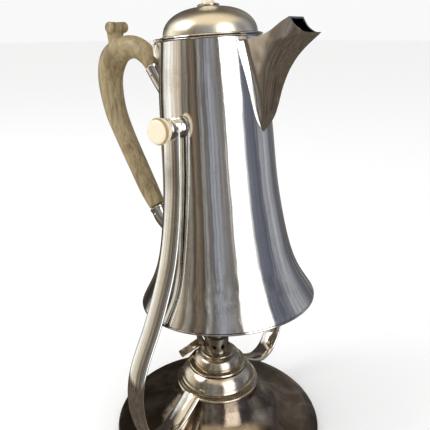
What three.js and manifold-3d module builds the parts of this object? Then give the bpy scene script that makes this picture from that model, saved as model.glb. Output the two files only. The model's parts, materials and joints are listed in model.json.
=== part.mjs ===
// A tilting coffee pot that hangs by two trunnion pins between the arms of a stand, over a spirit burner.
// Millimetres, +Z up, origin at the centre of the foot's underside, spout towards +X, near trunnion towards -Y.
import * as THREE from "three";
import { mergeVertices } from "three/addons/utils/BufferGeometryUtils.js";
import Module from "manifold-3d";

const wasm = await Module();
wasm.setup();

// ---- driving dimensions ----
const PIVOT_Z = 228.2; // height of the trunnion axis above the table
const REST_TILT = THREE.MathUtils.degToRad(-4.5); // the pot hangs with its handle a little low
const GAP = 0.3; // clearance between neighbouring pieces
const WALL = 1.2; // sheet thickness of the pot

const MOUTH_R = 34; // pot body: outer radius at the mouth and at the bottom
const MOUTH_H = 53.4;
const BASE_R = 59.7;
const BASE_H = -122.2;
const WAIST_R = 38; // outer radius at the trunnions

const LID_FLANGE_H = 55; // underside of the lid's flange
const LID_DOME_R = 31.6;
const LID_DOME_RISE = 18.5;
const HINGE_X = -42.4; // lid hinge axis, in the pot's frame
const HINGE_H = 54.7;
const HINGE_R = 2.6;
const HINGE_HALF = 10; // half the length of the hinge barrel

const EYE_IN = 41.4; // faces of the arm's bearing eye, as distances from the pot's axis
const EYE_OUT = 46.5;
const EYE_R = 6.9;
const PIN_R = 2.2;
const PIN_TIP = 33.5;
const PIN_END = 55;
const KNOB_R = 8.7;
const KNOB_END = 58;

const ARM_WIDTH = 14;
const ARM_THICK = 4.6;

const FOOT_R = 74;
const COLLAR_R = 29.6;
const COLLAR_Z = 34.2;

const TANK_R = 25; // burner tank, which stands in the collar
const TANK_BOTTOM = 9;
const SHOULDER_TOP = 46.7;
const CAP_LEDGE_Z = 57.4;
const GALLERY_R = 8.2;
const GALLERY_TOP = 68.6;
const SNUFFER_R = 10.2;
const SNUFFER_DEPTH = 5.5;
const SNUFFER_HINGE = [-17.6, 65.2]; // x and z of the snuffer's hinge
const SNUFFER_OPEN = THREE.MathUtils.degToRad(224); // how far the snuffer is thrown back from the wick

// ---- finishes ----
const finish = (color, roughness, metalness) => new THREE.MeshStandardMaterial({ color, roughness, metalness });
const SILVER = finish(0xc9c8c4, 0.12, 1);
const WORN_SILVER = finish(0xb9a98a, 0.22, 1);
const FRUITWOOD = finish(0x9c835a, 0.45, 0);
const BONE = finish(0xf0e4c3, 0.35, 0);
const COTTON = finish(0xd8d0bd, 0.95, 0);

// ---- solids ----
// A closed surface with merged vertices, no collapsed triangles, and its faces turned outwards.
function closed(geometry) {
  const g = geometry.clone();
  g.deleteAttribute("normal");
  g.deleteAttribute("uv");
  const merged = mergeVertices(g, 1e-4);
  const p = merged.attributes.position;
  const source = merged.index.array;
  const kept = [];
  let volume = 0;
  for (let i = 0; i < source.length; i += 3) {
    const [a, b, c] = [source[i], source[i + 1], source[i + 2]];
    if (a === b || b === c || c === a) continue;
    kept.push(a, b, c);
    const [va, vb, vc] = [a, b, c].map((n) => new THREE.Vector3().fromBufferAttribute(p, n));
    volume += va.dot(vb.cross(vc));
  }
  if (volume < 0) kept.reverse();
  merged.setIndex(kept);
  return merged;
}

function solid(geometry) {
  const g = closed(geometry);
  return new wasm.Manifold(
    new wasm.Mesh({
      numProp: 3,
      vertProperties: new Float32Array(g.attributes.position.array),
      triVerts: new Uint32Array(g.index.array),
    }),
  );
}

function shaped(manifold) {
  const mesh = manifold.getMesh();
  return new THREE.BufferGeometry()
    .setAttribute("position", new THREE.BufferAttribute(new Float32Array(mesh.vertProperties), 3))
    .setIndex(new THREE.BufferAttribute(new Uint32Array(mesh.triVerts), 1));
}

const cut = (geometry, ...tools) => shaped(tools.reduce((s, t) => s.subtract(solid(t)), solid(geometry)));
const join = (geometry, ...others) => shaped(others.reduce((s, t) => s.add(solid(t)), solid(geometry)));
const common = (geometry, other) => shaped(solid(geometry).intersect(solid(other)));

// A turned shape from an outline of [radius, height] points, standing on the Z axis.
function turned(outline, sides = 32) {
  const points = outline.map(([r, z]) => new THREE.Vector2(r, z));
  return closed(new THREE.LatheGeometry(points, sides).rotateX(Math.PI / 2));
}

// A turned ring or tube: the outline closes on itself.
const ring = (outline, sides = 32) => turned([...outline, outline[0]], sides);

// A round bar along Z from low to high.
const bar = (r, low, high, sides = 16) => turned([[0, low], [r, low], [r, high], [0, high]], sides);

// The outline of a thin wall that follows a curve of [radius, height] points, inside it.
function wallOutline(outer, thickness) {
  const heights = outer.map(([, z]) => z);
  const [low, high] = [Math.min(...heights), Math.max(...heights)];
  const inner = outer.map(([r, z], i) => {
    const before = outer[Math.max(i - 1, 0)];
    const after = outer[Math.min(i + 1, outer.length - 1)];
    const along = new THREE.Vector2(after[0] - before[0], after[1] - before[1]).normalize();
    const lifted = z + Math.sign(along.y) * along.x * thickness;
    return [Math.max(r - Math.abs(along.y) * thickness, 0), THREE.MathUtils.clamp(lifted, low, high)];
  });
  return [...outer, ...inner.reverse()];
}

// Points along a smooth curve through [a, b] points.
function smooth(points, steps) {
  const curve = new THREE.SplineCurve(points.map(([a, b]) => new THREE.Vector2(a, b)));
  return curve.getSpacedPoints(steps).map((p) => [p.x, p.y]);
}

// A plate in the XZ plane from an outline of [x, z] points, with thickness from y0 to y1.
function plateXZ(outline, y0, y1) {
  const shape = new THREE.Shape(outline.map(([x, z]) => new THREE.Vector2(x, z)));
  const g = new THREE.ExtrudeGeometry(shape, { depth: y1 - y0, bevelEnabled: false });
  return g.rotateX(Math.PI / 2).translate(0, y1, 0);
}

// A solid through rings of points that all have the same count, closed by a fan at each end.
function loft(rings) {
  const count = rings[0].length;
  const centre = (loop) => loop.reduce((s, p) => s.add(p), new THREE.Vector3()).divideScalar(count);
  const points = [...rings.flat(), centre(rings[0]), centre(rings.at(-1))];
  const index = [];
  for (let i = 0; i < rings.length - 1; i++) {
    for (let j = 0; j < count; j++) {
      const [a, b] = [i * count + j, i * count + ((j + 1) % count)];
      index.push(a, b, a + count, b, b + count, a + count);
    }
  }
  const last = (rings.length - 1) * count;
  for (let j = 0; j < count; j++) {
    const k = (j + 1) % count;
    index.push(points.length - 2, k, j, points.length - 1, last + j, last + k);
  }
  const g = new THREE.BufferGeometry().setFromPoints(points);
  return closed(g.setIndex(index));
}

// A rounded section on a path in the XZ plane. A station is [x, z, half size in the plane, half size along Y].
function sweptXZ(stations, sides, squareness = 2.4) {
  return loft(
    stations.map(([x, z, inPlane, acrossY], i) => {
      const before = stations[Math.max(i - 1, 0)];
      const after = stations[Math.min(i + 1, stations.length - 1)];
      const along = new THREE.Vector2(after[0] - before[0], after[1] - before[1]).normalize();
      return Array.from({ length: sides }, (_, j) => {
        const angle = (2 * Math.PI * j) / sides;
        const rounded = (v) => Math.sign(v) * Math.abs(v) ** (2 / squareness);
        const n = rounded(Math.cos(angle)) * inPlane;
        return new THREE.Vector3(x - along.y * n, rounded(Math.sin(angle)) * acrossY, z + along.x * n);
      });
    }),
  );
}

// More stations between the given ones, on a smooth curve.
function refined(stations, steps) {
  const place = new THREE.CatmullRomCurve3(stations.map(([x, z]) => new THREE.Vector3(x, 0, z)), false, "centripetal");
  const sizes = new THREE.CatmullRomCurve3(stations.map((s) => new THREE.Vector3(s[2], s[3], 0)), false, "centripetal");
  return Array.from({ length: steps + 1 }, (_, i) => {
    const [p, s] = [place.getPoint(i / steps), sizes.getPoint(i / steps)];
    return [p.x, p.z, s.x, s.y];
  });
}

const alongY = (geometry) => geometry.rotateX(-Math.PI / 2); // a shape on +Z is laid on +Y

const root = new THREE.Group();
const pot = new THREE.Group();
pot.position.set(0, 0, PIVOT_Z);
pot.rotation.y = REST_TILT;
root.add(pot);

function add(parent, name, geometry, material) {
  const mesh = new THREE.Mesh(geometry, material);
  mesh.name = name;
  parent.add(mesh);
  return mesh;
}

// The near piece is made on the -Y side, and the far one is the same turned half way about Z.
function addPair(parent, name, geometry, material) {
  add(parent, name + "_near", geometry, material);
  add(parent, name + "_far", geometry, material).rotation.z = Math.PI;
}

// ---- pot body ----
const BODY_CURVE = smooth(
  [[MOUTH_R, MOUTH_H], [36.9, 22.5], [WAIST_R, -6], [39.8, -49], [45.4, -89], [50.8, -106], [BASE_R, BASE_H]],
  10,
);
const bodyOuter = (clear) => {
  const grown = BODY_CURVE.map(([r, z]) => [r + clear, z]);
  return turned([[0, MOUTH_H], ...grown, [0, BASE_H]]);
};

// Holes that let the coffee out of the body into the spout and hold back the grounds.
function strainerHoles() {
  const holes = [];
  for (let row = 0; row < 3; row++) {
    const count = 3 - row;
    for (let i = 0; i < count; i++) {
      const hole = new THREE.CylinderGeometry(2, 2, 14, 10).rotateZ(Math.PI / 2);
      holes.push(hole.translate(WAIST_R - 2, (i - (count - 1) / 2) * 5.2, 40 - row * 6));
    }
  }
  return holes;
}

function makeBody() {
  const shell = ring(wallOutline(BODY_CURVE, WALL));
  const pinHole = new THREE.CylinderGeometry(PIN_R + GAP, PIN_R + GAP, 4 * WAIST_R, 20);
  add(pot, "pot_body", cut(shell, ...strainerHoles(), pinHole), SILVER);
  const seat = BASE_R - WALL - 2.6;
  add(pot, "pot_base", turned([[0, BASE_H + 3.4], [seat - 8, BASE_H + 2.4], [seat, BASE_H + 1.4], [seat, BASE_H],
    [0, BASE_H + 2]]), SILVER);
  add(pot, "base_rim", ring([[BASE_R - 2.8, BASE_H - GAP], [BASE_R - 0.2, BASE_H - GAP], [BASE_R + 0.5, BASE_H - 1],
    [BASE_R, BASE_H - 1.9], [BASE_R - 2.4, BASE_H - 1.9]]), SILVER);
  add(pot, "mouth_rim", ring([[MOUTH_R - 1.9, MOUTH_H + GAP], [MOUTH_R + 0.2, MOUTH_H + GAP],
    [MOUTH_R + 0.6, MOUTH_H + 0.7], [MOUTH_R + 0.2, MOUTH_H + 1.2], [MOUTH_R - 1.9, MOUTH_H + 1.2]]), SILVER);
  const boss = alongY(bar(6.4, WAIST_R - 3, EYE_IN - 0.7, 28)).rotateZ(Math.PI);
  const thread = alongY(bar(PIN_R + GAP, 20, 60)).rotateZ(Math.PI);
  addPair(pot, "trunnion_boss", cut(boss, bodyOuter(GAP), thread), SILVER);
}

// ---- spout ----
const SPOUT_ROOT_H = -9.8; // where the keel leaves the body
const SPOUT_TOP_H = 50.5;
const SPOUT_HALF = 8.6; // half width of the flat top
const SPOUT_LIP = [65.6, 62]; // back edge of the pouring mouth
const SPOUT_TIP = [81.2, 51.7];
const KEEL = smooth([[35.5, SPOUT_ROOT_H], [46.5, 2.4], [54.7, 22.6], [60.5, 33.1], [68, 41.7], SPOUT_TIP], 14);
const SPOUT_TOP = smooth([SPOUT_LIP, [60.4, 59.7], [50.6, 54.4], [33, SPOUT_TOP_H]], 6);
const SPOUT_MOUTH = smooth([SPOUT_TIP, [74.5, 52.5], [68.8, 56.5], SPOUT_LIP], 5).slice(1, -1);

// Half width of the spout, wide and flat-sided at the top and a narrow V below.
const keelX = (h) => {
  const i = Math.max(1, KEEL.findIndex(([, z]) => z >= h));
  const [[x0, z0], [x1, z1]] = [KEEL[i - 1], KEEL[i]];
  return x0 + ((x1 - x0) * (h - z0)) / (z1 - z0);
};

// One level section of the spout, from the pot's axis side round the keel and back, set in by the wall.
function spoutSection(h, inset) {
  const rise = THREE.MathUtils.clamp((h - SPOUT_ROOT_H) / (SPOUT_TOP_H - SPOUT_ROOT_H), 0, 1);
  const half = 0.9 + (SPOUT_HALF - 0.9) * rise ** 0.85;
  const front = keelX(Math.min(h, SPOUT_TIP[1])) + Math.max(0, h - SPOUT_TIP[1]) * 0.8 - inset * 1.3;
  const back = 20;
  const side = [];
  const steps = 7;
  for (let i = 0; i <= steps; i++) {
    const t = i / steps; // 0 on the keel, 1 at the body
    const x = front - (front - 30) * t ** 1.6;
    const reach = Math.min(1, (front - x) / (0.62 * (front - 33)));
    const width = half * Math.sin((Math.PI / 2) * reach ** (0.5 + 0.3 * (1 - rise))) - inset;
    side.push([x, Math.max(width, i === 0 ? 0.35 : 0.5)]);
  }
  const near = side.map(([x, w]) => new THREE.Vector3(x, -w, h));
  const far = side.map(([x, w]) => new THREE.Vector3(x, w, h)).reverse();
  const [wNear, wFar] = [near.at(-1).y, far[0].y];
  return [...near, new THREE.Vector3(back, wNear, h), new THREE.Vector3(back, wFar, h), ...far];
}

function makeSpout() {
  const levels = [SPOUT_ROOT_H, -7, -4, 1, 8, 16, 25, 33, 40, 46, SPOUT_TIP[1], 55, 59, 63.5];
  const outside = loft(levels.map((h) => spoutSection(h, 0)));
  const inside = loft(levels.slice(2).map((h) => spoutSection(h, WALL)));
  const side = [...KEEL, ...SPOUT_MOUTH, ...SPOUT_TOP, [20, SPOUT_TOP_H], [20, SPOUT_ROOT_H]];
  const roof = SPOUT_TOP.map(([x, z]) => [x + 0.6, z - WALL]);
  const hollow = [[20, -2], [95, -2], [95, 75], [70, 75], [SPOUT_LIP[0] + 3, SPOUT_LIP[1]], ...roof,
    [20, SPOUT_TOP_H - WALL]];
  const body = common(outside, plateXZ(side, -14, 14));
  const passage = common(inside, plateXZ(hollow, -14, 14));
  add(pot, "spout", cut(body, passage, bodyOuter(GAP)), SILVER);
}

// ---- handle ----
const HANDLE = [
  [-56.1, 38.2, 6.6, 6.2], [-60.6, 45.8, 7.2, 7], [-68, 51.4, 7.9, 7.7], [-77.5, 54, 8.8, 8.4],
  [-90.3, 52.1, 10.2, 8.8], [-100.6, 44.7, 12.2, 9], [-105.1, 33.1, 11.4, 8.7], [-105.3, 20.8, 10.3, 8.4],
  [-102.1, 4.1, 9.2, 8], [-93.8, -14.6, 8.1, 7.6], [-80.7, -39.2, 7.8, 7.2], [-71, -56.7, 7.6, 6.8],
  [-63.8, -68.2, 6.4, 6.2],
];
const SCROLL = [-92.6, 69.9]; // the rolled thumb rest on top of the handle
const UPPER_SOCKET = [[-57.6, 40.8, 6.3, 6.2], [-51.2, 29.5, 5.6, 5.7], [-44, 19, 5.6, 5.4], [-34, 8, 6.5, 5]];
const LOWER_SOCKET = [[-65.3, -66, 6.7, 6.6], [-58.5, -76.7, 6.4, 6.4], [-48.5, -83.9, 6.6, 5.8],
  [-37, -86.6, 7.7, 5.4]];

// A tenon that the handle's end runs into its socket with, and the bore around it.
function tenon(from, towards, length, size) {
  const [dx, dz] = [towards[0] - from[0], towards[1] - from[1]];
  const reach = length / Math.hypot(dx, dz);
  const tip = [from[0] + dx * reach, from[1] + dz * reach];
  const root0 = [from[0] - dx * reach * 0.4, from[1] - dz * reach * 0.4];
  return sweptXZ([[...root0, size, size], [...tip, size, size]], 12, 2);
}

function makeHandle() {
  const grip = sweptXZ(refined(HANDLE, 24), 12);
  const barrel = alongY(bar(4.6, -9, 9, 20)).translate(SCROLL[0], 0, SCROLL[1]);
  const neck = sweptXZ([[-92, 53, 10, 6], [-94.6, 62, 6, 6.6], [-94, 68.4, 3.4, 7.6]], 12);
  const upperCup = [[-56.3, 38.5], [-51.2, 29.5]];
  const lowerCup = [[-64.1, -67.7], [-58.5, -76.7]];
  const handle = join(grip, neck, barrel, tenon(...upperCup, 10, 3.4), tenon(...lowerCup, 9, 3.8));
  const pinUpper = [-52.9, 32.5];
  const pinLower = [-60.7, -73.4];
  const pinBar = ([x, z], r, half) => alongY(bar(r, -half, half, 12)).translate(x, 0, z);
  const faceCut = (end, inward) => {
    const [x, z] = end;
    return sweptXZ([[x, z, 14, 14], [x + inward[0], z + inward[1], 14, 14]], 4, 2);
  };
  const socket = (stations, cup, bore, face, pin) => {
    const path = refined(stations, 6);
    const hollow = path.slice(2).map(([x, z, inPlane, acrossY]) => [x, z, inPlane - 1.3, acrossY - 1.3]);
    return cut(sweptXZ(path, 12), sweptXZ(hollow, 10), bodyOuter(GAP), tenon(...cup, 10.5, bore), face,
      pinBar(pin, 1.3, 12));
  };
  const upper = socket(UPPER_SOCKET, upperCup, 3.4 + GAP, faceCut([-55.7, 37.5], [-4.5, 7.6]), pinUpper);
  const lower = socket(LOWER_SOCKET, lowerCup, 3.8 + GAP, faceCut([-63.3, -69], [-5, 8]), pinLower);
  add(pot, "handle", cut(handle, pinBar(pinUpper, 1.3, 12), pinBar(pinLower, 1.3, 12)), FRUITWOOD);
  add(pot, "upper_socket", upper, SILVER);
  add(pot, "lower_socket", lower, SILVER);
  add(pot, "upper_socket_pin", pinBar(pinUpper, 1, 6.4), SILVER);
  add(pot, "lower_socket_pin", pinBar(pinLower, 1, 7), SILVER);
}

// ---- lid ----
function makeLid() {
  const under = LID_FLANGE_H;
  const seat = under + 1.4 + GAP;
  const dome = Array.from({ length: 8 }, (_, i) => {
    const t = (Math.PI / 2) * (i / 7);
    return [LID_DOME_R * Math.cos(t) ** 0.8, seat + LID_DOME_RISE * Math.sin(t) ** 0.95];
  }).filter(([r]) => r > 3);
  dome.push([2.6, seat + LID_DOME_RISE]);
  const domeTop = seat + LID_DOME_RISE;
  add(pot, "lid_dome", ring(wallOutline(dome, WALL)), SILVER);
  add(pot, "lid_flange", ring([[28.6, under + 0.2], [34.2, under], [34.9, under + 0.7], [34.2, under + 1.4],
    [28.6, under + 1.4]]), SILVER);
  add(pot, "lid_bezel", ring([[30, under - 7.2], [30.8, under - 7.2], [31.2, under - GAP], [29.2, under - GAP], [29.4, under - 1.3],
    [30, under - 1.6]]), SILVER);
  const arm = plateXZ([[HINGE_X - 1, HINGE_H + 0.4], [HINGE_X, HINGE_H + HINGE_R], [-35.4, under + 2.2],
    [-35.4, under + 0.2], [HINGE_X + 1, HINGE_H - 0.6]], -3, 3);
  const knuckle = alongY(bar(HINGE_R, -3, 3, 20)).translate(HINGE_X, 0, HINGE_H);
  const bore = alongY(bar(1.2 + GAP, -20, 20, 12)).translate(HINGE_X, 0, HINGE_H);
  const flangeRoom = turned([[0, under - GAP], [34.9 + GAP, under - GAP], [34.9 + GAP, under + 1.4 + GAP],
    [0, under + 1.4 + GAP]]);
  add(pot, "lid_hinge", cut(join(arm, knuckle), bore, flangeRoom), SILVER);
  add(pot, "hinge_pin", alongY(bar(1.2, -HINGE_HALF - 0.6, HINGE_HALF + 0.6, 12)).translate(HINGE_X, 0, HINGE_H),
    SILVER);
  const leaf = (y0, y1) => join(
    alongY(bar(HINGE_R, y0, y1, 20)).translate(HINGE_X, 0, HINGE_H),
    plateXZ([[HINGE_X - HINGE_R, HINGE_H], [HINGE_X + 2.4, HINGE_H], [HINGE_X + 4.6, HINGE_H - 3.4],
      [-33, HINGE_H - 5], [-33, HINGE_H - 12.5], [-40, HINGE_H - 12.5], [HINGE_X - 2.2, HINGE_H - 9]], y0, y1));
  const back = plateXZ([[HINGE_X - 2.3, HINGE_H - 5], [-33, HINGE_H - 5], [-33, HINGE_H - 12.5],
    [-40, HINGE_H - 12.5], [HINGE_X - 2.2, HINGE_H - 9]], -HINGE_HALF, HINGE_HALF);
  const roomForLid = turned([[0, MOUTH_H], [MOUTH_R + 1.3, MOUTH_H], [MOUTH_R + 1.3, MOUTH_H + 10],
    [0, MOUTH_H + 10]]);
  const knuckleRoom = alongY(bar(HINGE_R + 0.5, -3.3, 3.3, 20)).translate(HINGE_X, 0, HINGE_H);
  add(pot, "body_hinge", cut(join(leaf(-HINGE_HALF, -3.3), leaf(3.3, HINGE_HALF), back), bore, bodyOuter(GAP),
    roomForLid, knuckleRoom), SILVER);

  add(pot, "finial_washer", ring([[2.6, domeTop + GAP], [7, domeTop + GAP - 0.1], [7.4, domeTop + 0.9],
    [6.6, domeTop + 1.6], [2.6, domeTop + 1.6]], 20), SILVER);
  const neck = domeTop + 1.6 + GAP;
  add(pot, "finial", turned([[0, neck + 12.5], [1.9, neck + 12.5], [1.9, neck], [4.4, neck], [4, neck + 2.2],
    [4.4, neck + 5], [6.4, neck + 8], [7.6, neck + 11.6], [6.9, neck + 15.4], [4.6, neck + 18],
    [0, neck + 19.2]], 20), BONE);
  const nutTop = domeTop - WALL - GAP;
  add(pot, "finial_stud", bar(1.6, nutTop - 4.4, neck + 12.2, 12), SILVER);
  add(pot, "finial_nut", cut(turned([[0, nutTop - 3], [4.6, nutTop - 3], [4.6, nutTop], [0, nutTop]], 6),
    bar(1.6 + GAP, nutTop - 6, nutTop + 6, 12)), SILVER);
}

// ---- trunnion pins with their bone knobs ----
function makeTrunnionPins() {
  const shank = turned([[0, PIN_TIP], [PIN_R - 0.4, PIN_TIP], [PIN_R, PIN_TIP + 0.6], [PIN_R, EYE_OUT + 0.4],
    [5.8, EYE_OUT + 0.4], [6.1, EYE_OUT + 1.2], [5.8, EYE_OUT + 2.2], [PIN_R, EYE_OUT + 2.2], [PIN_R, PIN_END],
    [0, PIN_END]], 20);
  const start = EYE_OUT + 2.2 + GAP;
  const bore = PIN_R + GAP;
  const knob = turned([[0, PIN_END + GAP], [bore, PIN_END + GAP], [bore, start], [5.8, start], [6.6, start + 1.6],
    [7.6, start + 3.4], [7.7, start + 4.6], [7.2, start + 5.1], [7.7, start + 5.7], [KNOB_R, start + 6.4],
    [KNOB_R, KNOB_END - 1.2], [KNOB_R - 1, KNOB_END - 0.3], [0, KNOB_END]], 20);
  const onAxle = (geometry) => alongY(geometry).rotateZ(Math.PI).translate(0, 0, PIVOT_Z);
  addPair(root, "trunnion_pin", onAxle(shank), SILVER);
  addPair(root, "bone_knob", onAxle(knob), BONE);
}

// ---- stand ----
// Centre line of an arm as [distance from the axis, height], from its eye down and round to the collar.
const ARM = [
  [43.9, PIVOT_Z], [43.9, 206], [44, 187], [46.4, 161], [50.9, 138.7], [57.9, 120.1], [65.8, 103.1], [74.9, 87.1],
  [79.5, 75.9], [81, 62.9], [78.5, 46.9], [73.2, 34.5], [64.2, 25.8], [53.5, 23.8], [43.1, 27.3], [33.8, 32.7],
  [29, 35.9],
];

// An arm's half-round strap: flat towards the pot and rounded outside, in a plane through the axis.
function strap() {
  const path = new THREE.CatmullRomCurve3(ARM.map(([y, z]) => new THREE.Vector3(0, -y, z)), false, "centripetal");
  const steps = 26;
  const rings = [];
  for (let i = 0; i <= steps; i++) {
    const p = path.getPointAt(i / steps);
    const t = path.getTangentAt(i / steps);
    const out = new THREE.Vector3(0, t.z, -t.y); // away from the pot, square to the strap
    const half = ARM_WIDTH / 2;
    const section = [[half - 0.6, -0.5], [-half + 0.6, -0.5]];
    for (let j = 0; j <= 6; j++) {
      const a = Math.PI * (1 - j / 6);
      section.push([half * Math.cos(a), Math.sin(a) * ARM_THICK * 0.72 - 0.22 * ARM_THICK]);
    }
    rings.push(section.map(([x, n], k) => {
      const depth = k < 2 ? -0.42 * ARM_THICK : n;
      return p.clone().addScaledVector(out, depth).setX(x);
    }));
  }
  return loft(rings);
}

function makeArms() {
  const toEye = (geometry) => alongY(geometry).rotateZ(Math.PI).translate(0, 0, PIVOT_Z);
  const eye = toEye(turned([[0, EYE_IN], [EYE_R - 0.5, EYE_IN], [EYE_R, EYE_IN + 0.6], [EYE_R, EYE_OUT - 0.6],
    [EYE_R - 0.6, EYE_OUT], [0, EYE_OUT]], 24));
  const bore = toEye(bar(PIN_R + GAP, 20, 70, 24));
  const collar = bar(COLLAR_R + GAP, 0, COLLAR_Z + 10, 48);
  const inner = toEye(bar(9, 30, EYE_IN, 24));
  const above = toEye(bar(30, EYE_OUT, 70, 24));
  addPair(root, "arm", cut(join(strap(), eye), bore, collar, inner, above), SILVER);
}

function makeFoot() {
  const skin = smooth([[27.4, 32.6], [29.3, 26], [34.3, 18.7], [43.3, 12.6], [54.6, 9.1], [66, 7], [FOOT_R - 1.4, 4.4]], 8);
  add(root, "foot", ring(wallOutline(skin, 1.6), 36), SILVER);
  add(root, "foot_rim", ring([[FOOT_R - 3, 0], [FOOT_R - 1, 0], [FOOT_R, 1.2], [FOOT_R, 3], [FOOT_R - 1.2, 3.8],
    [FOOT_R - 3, 2.4]], 40), SILVER);
  add(root, "foot_cover", turned([[0, 0], [FOOT_R - 4.4, 0], [FOOT_R - 3.4, 0.8], [FOOT_R - 3.4, 2], [0, 2]], 40),
    WORN_SILVER);
  add(root, "burner_collar", ring([[26, COLLAR_Z - 1.2], [COLLAR_R - 0.7, COLLAR_Z - 1.2],
    [COLLAR_R, COLLAR_Z - 0.3], [COLLAR_R, COLLAR_Z + 0.5], [COLLAR_R - 0.8, COLLAR_Z + 1.4], [27.2, COLLAR_Z + 1.8],
    [26, COLLAR_Z + 1.4]], 32), WORN_SILVER);
}

// ---- spirit burner ----
function makeBurner() {
  const seat = COLLAR_Z + 1.8 + GAP;
  const tank = [[0, TANK_BOTTOM], [TANK_R - 3, TANK_BOTTOM], [TANK_R, TANK_BOTTOM + 3], [TANK_R, seat - GAP],
    [27.6, seat], [27.8, seat + 1], [25.8, seat + 2], [24.8, seat + 5], [22.6, SHOULDER_TOP - 1.6],
    [21.3, SHOULDER_TOP], [14, SHOULDER_TOP]];
  const hollow = [[14, SHOULDER_TOP - 1.2], [20.8, SHOULDER_TOP - 1.4], [23.4, seat + 4.4], [TANK_R - 1.2, seat],
    [TANK_R - 1.2, TANK_BOTTOM + 3.5], [TANK_R - 4, TANK_BOTTOM + 1.2], [0, TANK_BOTTOM + 1.2]];
  add(root, "burner_tank", turned([...tank, ...hollow], 28), WORN_SILVER);
  const capBase = SHOULDER_TOP + GAP;
  const cap = smooth([[17.2, capBase + 2], [16.7, capBase + 4.6], [14.8, capBase + 7.8], [11.8, CAP_LEDGE_Z - 0.9]], 3);
  const capOutline = [[13.4, capBase - 3], [13.4, capBase], [20.4, capBase], [20.8, capBase + 0.8],
    [20, capBase + 1.8], ...cap, [11.6, CAP_LEDGE_Z], [5.6, CAP_LEDGE_Z], [5.6, CAP_LEDGE_Z - 1.2],
    [10.8, CAP_LEDGE_Z - 1.6], [13.8, capBase + 7], [15.6, capBase + 4.2], [16, capBase + 1.2],
    [12.2, capBase + 1.2], [12.2, capBase - 3]];
  add(root, "burner_cap", ring(capOutline, 24), WORN_SILVER);
  const low = CAP_LEDGE_Z + GAP;
  const gallery = ring([[GALLERY_R, low], [GALLERY_R, GALLERY_TOP - 0.8], [GALLERY_R - 0.7, GALLERY_TOP],
    [5.4, GALLERY_TOP], [5.4, GALLERY_TOP - 1], [GALLERY_R - 1.1, GALLERY_TOP - 1.2], [GALLERY_R - 1.1, low + 1],
    [5.4, low + 1], [5.4, low]], 20);
  const airHoles = Array.from({ length: 8 }, (_, i) =>
    new THREE.CylinderGeometry(1.7, 1.7, 6, 6).rotateZ(Math.PI / 2).translate(GALLERY_R, 0, low + 5.4)
      .rotateZ(((i + 0.5) * Math.PI) / 4));
  add(root, "wick_gallery", cut(gallery, ...airHoles), WORN_SILVER);
  add(root, "wick_tube", ring([[4.1, 30], [5, 30], [5, GALLERY_TOP + 1], [4.1, GALLERY_TOP + 1]], 24), WORN_SILVER);
  add(root, "wick", turned([[0, 12], [3.4, 12], [3.7, 16], [3.7, GALLERY_TOP + 1.6], [3, GALLERY_TOP + 3.6],
    [0, GALLERY_TOP + 3.9]], 20), COTTON);
  makeSnuffer(low);
}

// The snuffer cap is drawn closed over the wick and thrown back about its hinge.
function makeSnuffer(low) {
  const [hx, hz] = SNUFFER_HINGE;
  const base = GALLERY_TOP + 0.6;
  const top = base + SNUFFER_DEPTH;
  const lid = turned([[0, top - 1], [SNUFFER_R - 1.6, top - 1], [SNUFFER_R - 1.1, top - 1.5],
    [SNUFFER_R - 1.1, base], [SNUFFER_R, base], [SNUFFER_R, top - 0.9], [SNUFFER_R - 0.9, top], [0, top]], 24);
  const lever = plateXZ([[hx - 1.9, hz], [hx - 1, hz + 1.8], [-11.4, top - 1.6], [-11.4, base + 0.6],
    [hx + 1.9, hz - 0.6], [hx, hz - 1.9]], -1.5, 1.5);
  const eye = alongY(bar(2.2, -1.5, 1.5, 16)).translate(hx, 0, hz);
  const pinBore = alongY(bar(1 + GAP, -8, 8, 12)).translate(hx, 0, hz);
  const capRoom = bar(SNUFFER_R + GAP, base - 2, top + 2, 32);
  const swing = new THREE.Group();
  swing.position.set(hx, 0, hz);
  swing.rotation.y = -SNUFFER_OPEN;
  root.add(swing);
  const hung = (geometry) => geometry.translate(-hx, 0, -hz);
  add(swing, "snuffer_cap", hung(lid), WORN_SILVER);
  add(swing, "snuffer_lever", hung(cut(join(lever, eye), pinBore, capRoom)), WORN_SILVER);
  const ear = (y0, y1) => join(alongY(bar(2.2, y0, y1, 16)).translate(hx, 0, hz),
    plateXZ([[hx - 1.9, hz], [hx + 0.6, hz + 2], [-10.6, low + 2.6], [-10.6, low], [-13, low]], y0, y1));
  const bridge = plateXZ([[-10.6, low], [-10.6, low + 1.6], [-12.6, low + 1.6], [-13, low]], -3.4, 3.4);
  const gallery = bar(GALLERY_R + GAP, low - 2, GALLERY_TOP + 2, 32);
  add(root, "snuffer_bracket", cut(join(ear(-3.4, -1.9), ear(1.9, 3.4), bridge), pinBore, gallery), WORN_SILVER);
  add(root, "snuffer_pin", alongY(bar(1, -4.2, 4.2, 12)).translate(hx, 0, hz), WORN_SILVER);
}

makeBody();
makeSpout();
makeHandle();
makeLid();
makeTrunnionPins();
makeArms();
makeFoot();
makeBurner();

export default root;
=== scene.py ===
"""Coffee pot hung between the arms of a stand over a spirit burner: finished pieces, materials and stage."""
import json
import math
from contextlib import contextmanager

import bpy
from mathutils import Matrix, Vector


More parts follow.
